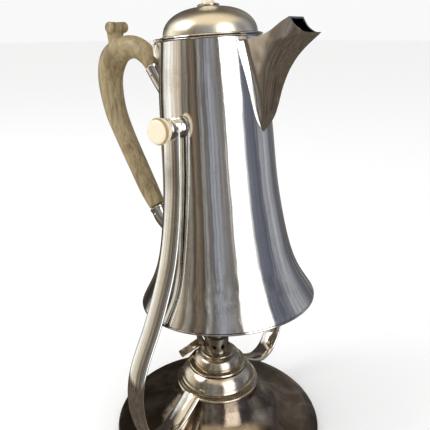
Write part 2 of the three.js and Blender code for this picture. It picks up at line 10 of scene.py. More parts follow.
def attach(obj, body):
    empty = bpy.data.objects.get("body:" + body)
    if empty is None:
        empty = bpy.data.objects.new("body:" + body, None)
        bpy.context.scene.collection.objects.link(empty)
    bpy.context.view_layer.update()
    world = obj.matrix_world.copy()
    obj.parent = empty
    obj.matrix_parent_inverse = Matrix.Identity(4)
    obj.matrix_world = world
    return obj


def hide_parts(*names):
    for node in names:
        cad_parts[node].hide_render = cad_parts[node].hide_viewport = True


bl_info = {
    "name": "Coffee Pot on Stand",
    "blender": (4, 5, 0),
    "version": (1, 0, 0),
    "location": "3D View > Sidebar > Coffee Pot",
    "description": "Builds a silver coffee pot, its stand and its spirit burner piece by piece",
    "category": "Add Mesh",
}

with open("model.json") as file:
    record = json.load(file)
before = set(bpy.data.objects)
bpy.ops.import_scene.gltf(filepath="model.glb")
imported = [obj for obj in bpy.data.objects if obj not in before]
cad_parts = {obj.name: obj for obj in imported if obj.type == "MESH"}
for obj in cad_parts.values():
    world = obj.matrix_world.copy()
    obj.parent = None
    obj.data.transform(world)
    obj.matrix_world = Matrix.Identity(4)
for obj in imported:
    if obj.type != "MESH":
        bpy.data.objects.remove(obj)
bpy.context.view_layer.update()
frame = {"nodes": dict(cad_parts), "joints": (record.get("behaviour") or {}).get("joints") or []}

MM = 0.001  # outlines and stations below are in millimetres
TAU = 2 * math.pi


def pivot():
    """Where the trunnion axis crosses the middle of the pot."""
    joint = next(j for j in frame["joints"] if j["name"] == "pot_tilt")
    return Vector(joint["pos_m"])


# ---------------------------------------------------------------- sizes and colours
class CoffeePotSizes(bpy.types.PropertyGroup):
    rest_tilt: bpy.props.FloatProperty(
        name="Rest tilt", description="Lean of the hanging pot towards its handle",
        default=math.radians(-4.5), subtype="ANGLE")
    wall: bpy.props.FloatProperty(
        name="Wall", description="Thickness of the silver sheet", default=0.0012, unit="LENGTH")
    mouth_radius: bpy.props.FloatProperty(
        name="Mouth radius", description="Outer radius of the body at the mouth",
        default=0.034, unit="LENGTH")
    base_radius: bpy.props.FloatProperty(
        name="Base radius", description="Outer radius of the body at the bottom",
        default=0.0597, unit="LENGTH")
    dome_radius: bpy.props.FloatProperty(
        name="Lid dome radius", description="Radius of the lid's dome", default=0.0316, unit="LENGTH")
    dome_rise: bpy.props.FloatProperty(
        name="Lid dome rise", description="Height of the lid's dome", default=0.0185, unit="LENGTH")
    knob_radius: bpy.props.FloatProperty(
        name="Knob radius", description="Radius of the bone knobs", default=0.0087, unit="LENGTH")
    arm_width: bpy.props.FloatProperty(
        name="Arm width", description="Width of the stand's arms", default=0.014, unit="LENGTH")
    arm_thickness: bpy.props.FloatProperty(
        name="Arm thickness", description="Thickness of the stand's arms", default=0.0046, unit="LENGTH")
    foot_radius: bpy.props.FloatProperty(
        name="Foot radius", description="Radius of the round foot", default=0.074, unit="LENGTH")


def colour(name, description, default):
    return bpy.props.FloatVectorProperty(
        name=name, description=description, default=default, size=3, min=0, max=1, subtype="COLOR")


class CoffeePotFinishes(bpy.types.PropertyGroup):
    silver: colour("Silver", "Polished silver plate", (0.85, 0.84, 0.81))
    tarnish: colour("Tarnish", "Silver plate where polish doesn't reach", (0.60, 0.53, 0.42))
    gilt: colour("Gilt", "Yellow base metal showing through the plate", (0.80, 0.62, 0.34))
    wood_light: colour("Light wood", "Early wood of the handle", (0.36, 0.28, 0.145))
    wood_dark: colour("Dark wood", "Late wood and old polish of the handle", (0.15, 0.095, 0.045))
    bone_pale: colour("Pale bone", "Turned faces of the knobs", (0.86, 0.78, 0.60))
    bone_dark: colour("Bone stain", "Old stain in the grooves of the bone", (0.42, 0.27, 0.10))
    cotton: colour("Cotton", "Unburnt wick", (0.72, 0.67, 0.57))
    floor: colour("Floor", "Plain pale floor", (0.98, 0.98, 0.98))


class CoffeePotStage(bpy.types.PropertyGroup):
    lens: bpy.props.FloatProperty(
        name="Lens", description="Focal length of the camera in millimetres", default=44.19)
    camera_place: bpy.props.FloatVectorProperty(
        name="Camera", description="Place of the camera", default=(0.22129, -0.27524, 0.28664),
        size=3, unit="LENGTH")
    camera_heading: bpy.props.FloatProperty(
        name="Heading", description="Direction that the camera looks in, turned from +Y",
        default=math.radians(39.485), subtype="ANGLE")
    camera_pitch: bpy.props.FloatProperty(
        name="Pitch", description="How far the camera looks down", default=math.radians(10.61),
        subtype="ANGLE")
    camera_roll: bpy.props.FloatProperty(
        name="Roll", description="Turn of the camera about its view", default=math.radians(-0.487),
        subtype="ANGLE")
    shift: bpy.props.FloatVectorProperty(
        name="Lens shift", description="How far the frame is off the lens's axis, in frame widths",
        default=(0.0119, -0.1958), size=2)
    key_power: bpy.props.FloatProperty(
        name="Key light", description="Power of the main light", default=6.0, unit="POWER")


GROUPS = {"coffee_pot_sizes": CoffeePotSizes, "coffee_pot_finishes": CoffeePotFinishes,
          "coffee_pot_stage": CoffeePotStage}


def sizes():
    return bpy.context.scene.coffee_pot_sizes


def finishes():
    return bpy.context.scene.coffee_pot_finishes


# ---------------------------------------------------------------- shaders
class Value:
    """A shader output that is used in ordinary expressions, which add their own Math nodes."""

    def __init__(self, shader, output):
        self.shader = shader
        self.output = output

    def math(self, operation, first, second=None):
        values = {0: first} if second is None else {0: first, 1: second}
        return self.shader.add("ShaderNodeMath", {"operation": operation}, values)

    def __add__(self, other):
        return self.math("ADD", self, other)

    def __sub__(self, other):
        return self.math("SUBTRACT", self, other)

    def __mul__(self, other):
        return self.math("MULTIPLY", self, other)

    def __rsub__(self, other):
        return self.math("SUBTRACT", other, self)

    __radd__ = __add__
    __rmul__ = __mul__


class Shader:
    """A node tree that is written as expressions."""

    def __init__(self, tree):
        self.tree = tree
        tree.nodes.clear()

    def add(self, kind, settings=None, values=None, output=0):
        """Adds a node: its settings, then the values or links of its sockets. Gives one of its outputs."""
        node = self.tree.nodes.new(kind)
        for key, value in (settings or {}).items():
            if key == "stops":
                self.set_stops(node.color_ramp, value)
            else:
                setattr(node, key, value)
        for key, value in (values or {}).items():
            socket = node.inputs[key]
            if isinstance(value, Value):
                self.tree.links.new(value.output, socket)
            else:
                socket.default_value = value
        return Value(self, node.outputs[output]) if node.outputs else node

    @staticmethod
    def set_stops(ramp, stops):
        while len(ramp.elements) < len(stops):
            ramp.elements.new(1)
        for element, (place, tone) in zip(ramp.elements, stops):
            element.position = place
            element.color = (*tone, 1) if isinstance(tone, tuple) else (tone, tone, tone, 1)

    def place(self):
        """Where a point is on the piece, in metres."""
        return self.add("ShaderNodeTexCoord", output="Object")

    def stretched(self, scale, turn=(0, 0, 0)):
        return self.add("ShaderNodeMapping", None,
                        {"Vector": self.place(), "Rotation": turn, "Scale": scale})

    def noise(self, place, scale, detail=2.0, roughness=0.5, distortion=0.0):
        return self.add("ShaderNodeTexNoise", None,
                        {"Vector": place, "Scale": scale, "Detail": detail, "Roughness": roughness,
                         "Distortion": distortion})

    def ramp(self, factor, *stops):
        return self.add("ShaderNodeValToRGB", {"stops": stops}, {0: factor})

    def span(self, value, low, high, new_low=0.0, new_high=1.0):
        return self.add("ShaderNodeMapRange", None, {0: value, 1: low, 2: high, 3: new_low, 4: new_high})

    def mix(self, factor, first, second):
        """A colour between two others."""
        full = [v if isinstance(v, Value) else (*v, 1) for v in (first, second)]
        return self.add("ShaderNodeMix", {"data_type": "RGBA"}, {0: factor, 6: full[0], 7: full[1]}, output=2)

    def bump(self, height, distance, strength=1.0, under=None):
        values = {"Height": height, "Distance": distance, "Strength": strength}
        if under:
            values["Normal"] = under
        return self.add("ShaderNodeBump", None, values)

    def surface(self, varying, constant):
        values = {**constant, **varying}
        shader = self.add("ShaderNodeBsdfPrincipled", None, values)
        self.add("ShaderNodeOutputMaterial", None, {"Surface": shader})


def material(name):
    made = bpy.data.materials.new(name)
    made.use_nodes = True
    return made, Shader(made.node_tree)


def silver_finish(name="silver_plate", wave=0.0011, spacing=26):
    """Polished plate: soft waves from the hammer, fine hairlines from polishing, a little tarnish."""
    made, s = material(name)
    tones = finishes()
    place = s.place()
    waves = s.noise(place, spacing, 2.0)
    hairs = s.noise(s.stretched((900, 900, 60), (0.2, 0.1, 0)), 1.0, 3.0, 0.6)
    cross = s.noise(s.stretched((60, 1100, 900), (0, 0.5, 0.4)), 1.0, 2.0, 0.6)
    cloud = s.noise(place, 60, 5.0, 0.6, 0.4)
    dull = s.span(cloud, 0.52, 0.8)
    scratches = s.span(hairs, 0.62, 0.72) + s.span(cross, 0.64, 0.74)
    s.surface(
        {"Base Color": s.mix(dull * 0.55, tuple(tones.silver), tuple(tones.tarnish)),
         "Roughness": 0.085 + dull * 0.07 + scratches * 0.05,
         "Normal": s.bump(scratches, 0.00002, 0.25, s.bump(waves, wave, 0.5))},
        {"Metallic": 1.0, "Specular IOR Level": 0.5})
    return made


def satin_silver_finish():
    """Softly brushed plate on the dome, warm from handling."""
    made, s = material("satin_silver")
    clean, handled = (0.92, 0.86, 0.72), (0.78, 0.68, 0.50)
    cloud = s.noise(s.place(), 60, 5.0, 0.6, 0.4)
    waves = s.noise(s.place(), 30, 2.0)
    s.surface(
        {"Base Color": s.mix(s.span(cloud, 0.45, 0.75) * 0.4, clean, handled),
         "Roughness": 0.27 + s.span(cloud, 0.4, 0.7) * 0.08,
         "Normal": s.bump(waves, 0.0006, 0.5)},
        {"Metallic": 1.0})
    return made


def painted_reflection_silver_finish():
    """Plate on the foot, its colour darkened to brown to paint the dark reflections of the pot and burner
    above it, lighter in random patches.
    """
    made, s = material("painted_reflection_silver")
    # Both tones are darkened to paint dark reflections of what stands above the foot; the mix between them
    # varies at random.
    painted_dark_reflection, rubbed = (0.26, 0.205, 0.155), (0.52, 0.45, 0.37)
    cloud = s.noise(s.place(), 45, 6.0, 0.62, 0.8)
    waves = s.noise(s.place(), 24, 2.0)
    s.surface(
        {"Base Color": s.mix(s.span(cloud, 0.48, 0.72), painted_dark_reflection, rubbed),
         "Roughness": 0.10 + s.span(cloud, 0.4, 0.7) * 0.12,
         "Normal": s.bump(waves, 0.0012, 0.5)},
        {"Metallic": 1.0})
    return made


def hammered_silver_finish():
    """Plate on the hand-raised spout, with closer and deeper waves."""
    return silver_finish("hammered_silver", 0.0016, 34)


def worn_silver_finish():
    """Heat-worn plate: grey with yellow base metal in clouds, brown stains, and smoke towards the wick."""
    made, s = material("worn_silver")
    tones = finishes()
    grey, soot = (0.66, 0.60, 0.50), (0.05, 0.04, 0.03)
    smoke_starts, smoke_full = 0.053, 0.068  # heights on the burner, in metres
    place = s.place()
    cloud = s.noise(place, 75, 6.0, 0.62, 0.6)
    stain = s.noise(place, 160, 4.0, 0.6)
    height = s.add("ShaderNodeSeparateXYZ", None, {0: place}, output=2)
    smoke = s.span(height, smoke_starts, smoke_full) * 0.75
    plated = s.mix(s.span(cloud, 0.46, 0.72) * 0.7, grey, tuple(tones.gilt))
    stained = s.mix(s.span(stain, 0.56, 0.78) * 0.6, plated, tuple(0.4 * c for c in tones.tarnish))
    s.surface(
        {"Base Color": s.mix(smoke, stained, soot),
         "Roughness": 0.14 + s.span(stain, 0.4, 0.75) * 0.2 + smoke * 0.3,
         "Normal": s.bump(stain, 0.00012, 0.4, s.bump(s.noise(place, 40, 2.0), 0.0007, 0.5))},
        {"Metallic": 1.0})
    return made


def fruitwood_finish():
    """Pale close-grained wood: long grain along the grip, darker late wood, small pores and worn polish."""
    made, s = material("fruitwood")
    tones = finishes()
    lean = (0, math.radians(-18), 0)  # the grain runs with the long side of the grip
    brown, tan = (0.25, 0.18, 0.085), (0.46, 0.37, 0.22)
    rubbed, old_polish = (0.42, 0.335, 0.19), (0.16, 0.10, 0.05)
    figure = s.noise(s.stretched((230, 420, 50), lean), 1.0, 6.0, 0.66, 0.8)
    pores = s.noise(s.stretched((1500, 2300, 260), lean), 1.0, 2.0, 0.6)
    broad = s.noise(s.place(), 34, 3.0, 0.55)
    grain = s.ramp(figure, (0.30, tuple(tones.wood_dark)), (0.44, brown),
                   (0.56, tuple(tones.wood_light)), (0.76, tan))
    worn = s.mix(s.span(broad, 0.44, 0.66) * 0.35, grain, rubbed)
    shaded = s.mix(s.span(broad, 0.46, 0.30) * 0.5, worn, old_polish)
    dark_pores = s.span(pores, 0.58, 0.72)
    s.surface(
        {"Base Color": s.mix(dark_pores * 0.5, shaded, tuple(tones.wood_dark)),
         "Roughness": 0.36 + s.span(broad, 0.4, 0.7) * 0.16,
         "Normal": s.bump(dark_pores, 0.00006, -0.5, s.bump(figure, 0.00012, 0.3))},
        {"Coat Weight": 0.25, "Coat Roughness": 0.22})
    return made


def bone_finish():
    """Turned bone: cream with faint streaks and patches of brown stain."""
    made, s = material("bone")
    tones = finishes()
    place = s.place()
    streaks = s.noise(s.stretched((260, 40, 260)), 1.0, 4.0, 0.6, 0.5)
    stain = s.noise(place, 190, 4.0, 0.6)
    yellowed, tea = (0.80, 0.66, 0.42), (0.66, 0.47, 0.22)
    pale = s.mix(s.span(streaks, 0.35, 0.75) * 0.35, tuple(tones.bone_pale), yellowed)
    s.surface(
        {"Base Color": s.mix(s.span(stain, 0.60, 0.80) * 0.5, pale, tea),
         "Roughness": 0.30 + s.span(stain, 0.4, 0.7) * 0.12,
         "Normal": s.bump(streaks, 0.00010, 0.3)},
        {"Subsurface Weight": 0.12, "Subsurface Radius": (0.004, 0.003, 0.002), "Subsurface Scale": 0.4,
         "Coat Weight": 0.25, "Coat Roughness": 0.18})
    return made


def stained_bone_finish():
    """Bone in the milled grooves, brown with old stain."""
    made, s = material("bone_groove")
    tones = finishes()
    stain = s.noise(s.place(), 420, 3.0, 0.6)
    honey = (0.62, 0.43, 0.18)
    s.surface(
        {"Base Color": s.mix(s.span(stain, 0.35, 0.65), honey, tuple(tones.bone_dark)),
         "Roughness": 0.38 + stain * 0.2,
         "Normal": s.bump(stain, 0.0002, 0.4)},
        {"Coat Weight": 0.2, "Coat Roughness": 0.25})
    return made


def cotton_finish():
    """Plaited cotton, sooty at the top."""
    made, s = material("cotton")
    tones = finishes()
    place = s.place()
    plait = s.add("ShaderNodeTexWave", {"bands_direction": "DIAGONAL"},
                  {"Vector": place, "Scale": 260.0, "Distortion": 1.5, "Detail": 2.0}, output=1)
    fluff = s.noise(place, 900, 4.0, 0.7)
    height = s.add("ShaderNodeSeparateXYZ", None, {0: place}, output=2)
    burnt_from, burnt_to = 0.0704, 0.0724  # heights on the wick, in metres
    burnt, soot = s.span(height, burnt_from, burnt_to), (0.06, 0.045, 0.035)
    s.surface(
        {"Base Color": s.mix(burnt * 0.85 + fluff * 0.1, tuple(tones.cotton), soot),
         "Roughness": 0.85 + fluff * 0.1,
         "Normal": s.bump(plait + fluff, 0.0003, 0.6)},
        {"Sheen Weight": 0.3})
    return made


FINISHES = {}


def prepare_finishes():
    makers = {"silver_plate": silver_finish, "hammered_silver": hammered_silver_finish,
              "satin_silver": satin_silver_finish, "painted_reflection_silver": painted_reflection_silver_finish,
              "worn_silver": worn_silver_finish, "fruitwood": fruitwood_finish, "bone": bone_finish,
              "bone_groove": stained_bone_finish, "cotton": cotton_finish}
    for name, maker in makers.items():
        FINISHES[name] = maker()


# ---------------------------------------------------------------- modelling
def deselect():
    bpy.ops.object.select_all(action="DESELECT")


def activate(piece):
    deselect()
    piece.select_set(True)
    bpy.context.view_layer.objects.active = piece


@contextmanager
def editing(piece):
    activate(piece)
    bpy.ops.object.mode_set(mode="EDIT")
    bpy.ops.mesh.select_all(action="SELECT")
    yield
    bpy.ops.object.mode_set(mode="OBJECT")


def settle(piece):
    """The piece's place, turn and scale go into its mesh."""
    activate(piece)
    bpy.ops.object.transform_apply(location=True, rotation=True, scale=True)
    return piece


def tidy(piece, reach=2e-6):
    """Doubles are merged, holes at seams close, and all faces point outwards."""
    with editing(piece):
        bpy.ops.mesh.remove_doubles(threshold=reach)
        bpy.ops.mesh.normals_make_consistent(inside=False)
    return piece


def modified(piece, kind, **settings):
    """Adds a modifier with its settings, and applies it."""
    activate(piece)
    added = piece.modifiers.new(kind.title(), kind)
    for key, value in settings.items():
        setattr(added, key, value)
    bpy.ops.object.modifier_apply(modifier=added.name)
    return piece


def bevelled(piece, width, segments=2, angle=32):
    return modified(piece, "BEVEL", width=width * MM, segments=segments, limit_method="ANGLE",
                    angle_limit=math.radians(angle), use_clamp_overlap=True)


def combined(piece, tool, operation):
    """Joins a tool to a piece, or cuts it away, and removes the tool."""
    modified(piece, "BOOLEAN", operation=operation, object=tool, solver="EXACT")
    bpy.data.objects.remove(tool)
    return piece


def joined(*pieces):
    """Several meshes as one object, with their surfaces left as they are."""
    activate(pieces[0])
    for piece in pieces:
        piece.select_set(True)
    bpy.ops.object.join()
    return pieces[0]


def curve_through(points, per_span):
    """More points between the given ones, on a smooth curve through them."""
    given = [Vector(p) for p in points]
    given = [2 * given[0] - given[1], *given, 2 * given[-1] - given[-2]]
    made = []
    for a, b, c, d in zip(given, given[1:], given[2:], given[3:]):
        knots = [0.0]
        for p, q in ((a, b), (b, c), (c, d)):
            knots.append(knots[-1] + math.sqrt((q.xy - p.xy).length))
        for i in range(per_span):
            t = knots[1] + (knots[2] - knots[1]) * i / per_span
            ab, bc, cd = (between(p, q, knots[n], knots[n + 1], t)
                          for n, (p, q) in enumerate(((a, b), (b, c), (c, d))))
            made.append(between(between(ab, bc, knots[0], knots[2], t),
                                between(bc, cd, knots[1], knots[3], t), knots[1], knots[2], t))
    return [tuple(p) for p in [*made, given[-2]]]


def between(first, last, start, end, t):
    return first * ((end - t) / (end - start)) + last * ((t - start) / (end - start))


def turned(outline, steps=128):
    """A turned piece on the Z axis, spun from an outline of (radius, height) points."""
    deselect()
    (r, h), *rest = outline
    bpy.ops.mesh.primitive_plane_add(size=MM)
    piece = bpy.context.object
    with editing(piece):
        bpy.ops.mesh.merge(type="CENTER")
        bpy.ops.mesh.select_all(action="SELECT")
        bpy.ops.transform.translate(value=(r * MM, 0, h * MM))
        for next_r, next_h in rest:
            step = ((next_r - r) * MM, 0, (next_h - h) * MM)
            bpy.ops.mesh.extrude_region_move(TRANSFORM_OT_translate={"value": step})
            r, h = next_r, next_h
        bpy.ops.mesh.select_all(action="SELECT")
        bpy.ops.mesh.spin(steps=steps, angle=TAU, center=(0, 0, 0), axis=(0, 0, 1))
    return tidy(piece)


def ring(outline, steps=128):
    """A turned piece whose outline closes on itself."""
    return turned([*outline, outline[0]], steps)


def walled(curve, thickness):
    """The closed outline of a thin wall inside a curve of (radius, height) points."""
    inner = []
    low, high = min(h for _, h in curve), max(h for _, h in curve)
    for i, (r, h) in enumerate(curve):
        before, after = curve[max(i - 1, 0)], curve[min(i + 1, len(curve) - 1)]
        along = Vector((after[0] - before[0], after[1] - before[1])).normalized()
        lifted = h + math.copysign(1, along.y) * along.x * thickness
        inner.append((max(r - abs(along.y) * thickness, 0.0), min(max(lifted, low), high)))
    return [*curve, *reversed(inner)]


def turn(angle, centre):
    """Turns what is selected about Y."""
    bpy.ops.transform.rotate(value=-angle, orient_axis="Y", center_override=centre)


def swept(stations, sides=32, flat_side=1.0):
    """A rounded bar on (x, height, half thickness, half width) stations, made by extruding its end."""
    deselect()
    bpy.ops.mesh.primitive_circle_add(vertices=sides, radius=MM, fill_type="NGON")
    piece = bpy.context.object
    for vertex in piece.data.vertices:
        vertex.co.x *= flat_side if vertex.co.x > 0 else 1.0
    last = len(stations) - 1
    with editing(piece):
        x0 = h0 = leaning = 0.0
        u0 = v0 = 1.0
        for i, (x, h, u, v) in enumerate(stations):
            step = ((x - x0) * MM, 0, (h - h0) * MM)
            if i:
                bpy.ops.mesh.extrude_region_move(TRANSFORM_OT_translate={"value": step})
            else:
                bpy.ops.transform.translate(value=step)
            before, after = stations[max(i - 1, 0)], stations[min(i + 1, last)]
            lean = math.atan2(after[0] - before[0], after[1] - before[1])
            centre = (x * MM, 0, h * MM)
            turn(-leaning, centre)
            bpy.ops.transform.resize(value=(u / u0, v / v0, 1), center_override=centre)
            turn(lean, centre)
            x0, h0, u0, v0, leaning = x, h, u, v, lean
    return tidy(piece)


def along_y(piece, height=0.0, far=False):
    """Lays a piece from +Z onto -Y, or onto +Y on the far side, at a height in metres."""
    piece.rotation_euler = (math.radians(-90 if far else 90), 0, 0)
    piece.location.z = height
    return settle(piece)


def into_pot(piece):
    """From the pot's own upright frame to where the pot hangs."""
    piece.rotation_euler = (0, sizes().rest_tilt, 0)
    piece.location = pivot()
    return settle(piece)


def seated(piece, name, body, slot, *nodes, angle=38, finish=None):
    """Names a finished piece, gives it its finish, and seats it on its body in place of the plain nodes."""
    settle(piece)
    bpy.ops.object.shade_smooth_by_angle(angle=math.radians(angle))
    piece.name = piece.data.name = name
    piece.data.materials.clear()
    piece.data.materials.append(FINISHES[finish or slot])
    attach(piece, body)
    if nodes:
        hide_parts(*nodes)
    return piece


def fine_copy(node, width=0.25, angle=32):
    """A merged copy of a plain node, with softened edges."""
    source = frame["nodes"][node]
    piece = bpy.data.objects.new("copy", source.data.copy())
    bpy.context.scene.collection.objects.link(piece)
    tidy(piece, 1e-6)
    modified(piece, "DECIMATE", decimate_type="DISSOLVE", angle_limit=math.radians(1.5))
    return bevelled(piece, width, 2, angle) if width else piece


# ---------------------------------------------------------------- pieces
class CoffeePotPiece:
    """What the operators of this file share."""
    bl_options = {"REGISTER", "UNDO"}

    def execute(self, context):
        self.build()
        return {"FINISHED"}


class COFFEEPOT_OT_body(CoffeePotPiece, bpy.types.Operator):
    """Sheet body open at the mouth, with its rims and its dished bottom"""
    bl_idname = "coffeepot.body"
    bl_label = "Pot Body"

    def build(self):
        mouth, base, wall = sizes().mouth_radius / MM, sizes().base_radius / MM, sizes().wall / MM
        curve = curve_through([(mouth, 53.4), (36.9, 22.5), (38, -6), (39.8, -49), (45.4, -89), (50.8, -106),
                               (base, -122.2)], 10)
        body = turned(walled(curve, wall) + [curve[0]], 160)
        hole, spacing, top_row, row_step = 2, 5.2, 40, 6
        for row in range(3):
            for i in range(3 - row):
                across, height = (i - (2 - row) / 2) * spacing, top_row - row_step * row
                bpy.ops.mesh.primitive_cylinder_add(
                    vertices=20, radius=hole * MM, depth=14 * MM, rotation=(0, math.pi / 2, 0),
                    location=(36.6 * MM, across * MM, height * MM))
                combined(body, settle(bpy.context.object), "DIFFERENCE")
        seated(into_pot(body), "body_wall", "pot", "silver_plate", "pot_body")
        rim = ring([(mouth - 1.9, 53.7), (mouth, 53.6), (mouth + 0.5, 53.9), (mouth + 0.65, 54.2),
                    (mouth + 0.4, 54.55), (mouth - 0.1, 54.6), (mouth - 1.9, 54.6)])
        seated(into_pot(rim), "mouth_moulding", "pot", "silver_plate", "mouth_rim")
        foot_ring = ring([(base - 2.8, -122.5), (base - 0.4, -122.5), (base + 0.15, -122.7),
                          (base + 0.4, -123.2), (base + 0.3, -123.7), (base - 0.2, -124.0),
                          (base - 2.4, -124.1)])
        seated(into_pot(foot_ring), "bottom_moulding", "pot", "silver_plate", "base_rim")
        seat = base - wall - 2.6
        dish = turned(curve_through([(0, -118.7), (20, -119.1), (seat - 8, -119.8), (seat, -120.8)], 6)
                      + [(seat, -122.0), (0, -120.4)])
        seated(into_pot(dish), "bottom_dish", "pot", "silver_plate", "pot_base")


class COFFEEPOT_OT_spout(CoffeePotPiece, bpy.types.Operator):
    """V spout: a keel that curves out to the lip, flat cheeks and a shaped pouring mouth"""
    bl_idname = "coffeepot.spout"
    bl_label = "Spout"

    ROOT, TOP = -9.8, 50.5  # heights where the keel leaves the body and where the cheeks end
    LIP, TIP = (65.6, 62), (81.2, 51.7)
    HALF, KEEL_HALF = 8.6, 0.9  # half widths at the top and at the root
    BACK = 30  # the cheeks run back to here, inside the body

    def keel(self):
        return curve_through([(35.5, self.ROOT), (46.5, 2.4), (54.7, 22.6), (60.5, 33.1), (68, 41.7),
                              self.TIP], 8)

    def section(self, keel, h, inset):
        """One level section of the spout, from the pot's axis side round the keel and back."""
        rise = min(max((h - self.ROOT) / (self.TOP - self.ROOT), 0.0), 1.0)
        half = self.KEEL_HALF + (self.HALF - self.KEEL_HALF) * rise ** 0.85
        level = min(h, self.TIP[1])
        (x0, h0), (x1, h1) = next(((p, q) for p, q in zip(keel, keel[1:]) if q[1] >= level), keel[-2:])
        front = x0 + (x1 - x0) * (level - h0) / (h1 - h0) + max(0.0, h - level) * 0.8 - inset * 1.3
        side = []
        for i in range(13):
            part = i / 12
            x = front - (front - self.BACK) * part ** 1.6
            reach = min(1.0, (front - x) / (0.62 * (front - 33)))
            width = half * math.sin(math.pi / 2 * reach ** (0.5 + 0.3 * (1 - rise))) - inset
            side.append((x, max(width, 0.35 if i == 0 else 0.5)))
        near = [(x, -w, h) for x, w in side]
        return near + [(20, -side[-1][1], h), (20, side[-1][1], h)] + [(x, w, h) for x, w in reversed(side)]

    def lofted(self, levels, inset):
        """A closed shape through level sections, shaped from a grid."""
        keel = self.keel()
        rings = [self.section(keel, h, inset) for h in levels]
        across = len(rings[0]) + 1
        deselect()
        bpy.ops.mesh.primitive_grid_add(x_subdivisions=across - 1, y_subdivisions=len(rings) - 1)
        piece = bpy.context.object
        for i, vertex in enumerate(piece.data.vertices):
            row = rings[i // across]
            vertex.co = Vector(row[i % across % len(row)]) * MM
        with editing(piece):
            bpy.ops.mesh.remove_doubles(threshold=2e-6)
            bpy.ops.mesh.select_all(action="SELECT")
            bpy.ops.mesh.fill_holes(sides=0)
        return tidy(piece)

    def plate(self, outline):
        """A plate across the spout from an outline of (x, height) points."""
        deselect()
        bpy.ops.mesh.primitive_circle_add(vertices=len(outline), radius=MM, fill_type="NGON")
        piece = bpy.context.object
        for vertex, (x, h) in zip(piece.data.vertices, outline):
            vertex.co = (x * MM, -14 * MM, h * MM)
        with editing(piece):
            bpy.ops.mesh.extrude_region_move(TRANSFORM_OT_translate={"value": (0, 28 * MM, 0)})
        return tidy(piece)

    def build(self):
        wall = sizes().wall / MM
        top = curve_through([self.LIP, (60.4, 59.7), (50.6, 54.4), (33, self.TOP)], 5)
        mouth = curve_through([self.TIP, (74.5, 52.5), (68.8, 56.5), self.LIP], 5)[1:-1]
        levels = [self.ROOT + (63.5 - self.ROOT) * (i / 40) for i in range(41)]
        outside = self.lofted(levels, 0)
        inside = self.lofted([h for h in levels if h > -5], wall)
        combined(outside, self.plate([*self.keel(), *mouth, *top, (20, self.TOP), (20, self.ROOT)]),
                 "INTERSECT")
        roof = [(x + 0.6, h - wall) for x, h in top]
        hollow = [(20, -2), (95, -2), (95, 75), (70, 75), (self.LIP[0] + 3, self.LIP[1]), *roof,
                  (20, self.TOP - wall)]
        combined(inside, self.plate(hollow), "INTERSECT")
        combined(outside, inside, "DIFFERENCE")
        grown = curve_through([(34.25, 53.4), (37.15, 22.5), (38.25, -6), (40.05, -49)], 8)
        combined(outside, turned([(0, 53.4), *grown, (0, -49), (0, 53.4)], 96), "DIFFERENCE")
        seated(into_pot(bevelled(outside, 0.3, 2, 40)), "spout_sheet", "pot", "silver_plate", "spout",
               angle=30, finish="hammered_silver")


class COFFEEPOT_OT_handle(CoffeePotPiece, bpy.types.Operator):
    """Carved handle with a rolled thumb rest, in two silver sockets"""
    bl_idname = "coffeepot.handle"
    bl_label = "Handle"

    def build(self):
        grip = swept(curve_through(
            [(-56.1, 38.3, 5.6, 5.6), (-60.6, 45.8, 7.2, 7), (-68, 51.4, 7.9, 7.7), (-77.5, 54, 8.8, 8.4),
             (-90.3, 52.1, 10.2, 8.8), (-100.6, 44.7, 12.2, 9), (-105.1, 33.1, 11.4, 8.7),
             (-105.3, 20.8, 10.3, 8.4), (-102.1, 4.1, 9.2, 8), (-93.8, -14.6, 8.1, 7.6),
             (-80.7, -39.2, 7.8, 7.2), (-71, -56.7, 7.6, 6.8), (-64, -67.9, 6.3, 6.1)], 6))
        neck = swept(curve_through(
            [(-91.8, 52.5, 10, 6), (-94.2, 60, 6.2, 6.4), (-95.2, 66, 4.3, 7.2), (-94.2, 69.2, 3.4, 7.8)], 5))
        barrel = along_y(turned([(0, -8.9), (3.6, -8.9), (4.2, -8.4), (4.4, -7.4), (4.05, 0), (4.4, 7.4),
                                 (4.2, 8.4), (3.6, 8.9), (0, 8.9)], 48))
        barrel.location = (-92.6 * MM, 0, 69.9 * MM)
        carved = joined(grip, neck, settle(barrel))
        modified(carved, "REMESH", mode="VOXEL", voxel_size=0.75 * MM)
        modified(carved, "SMOOTH", factor=0.5, iterations=5)
        seated(into_pot(carved), "carved_grip", "pot", "fruitwood", "handle", angle=60)
        self.socket("upper", [(-56.1, 38.1, 6.0, 6.1), (-55.4, 36.9, 6.0, 6.1), (-51.2, 29.5, 5.6, 5.7),
                              (-44, 19, 5.6, 5.4), (-34, 8, 6.5, 5)])
        self.socket("lower", [(-63.5, -68.7, 6.7, 6.6), (-62.9, -69.8, 6.7, 6.6), (-61.9, -71.4, 6.3, 6.3),
                              (-58.5, -76.7, 6.3, 6.3), (-48.5, -83.9, 6.6, 5.8), (-37, -86.6, 7.7, 5.4)])
        for pin in ("upper_socket_pin", "lower_socket_pin"):
            seated(fine_copy(pin, 0.3), pin + "_head", "pot", "silver_plate", pin)

    @staticmethod
    def socket(which, stations):
        seated(into_pot(bevelled(swept(curve_through(stations, 5)), 0.3)), which + "_ferrule", "pot",
               "silver_plate", which + "_socket")


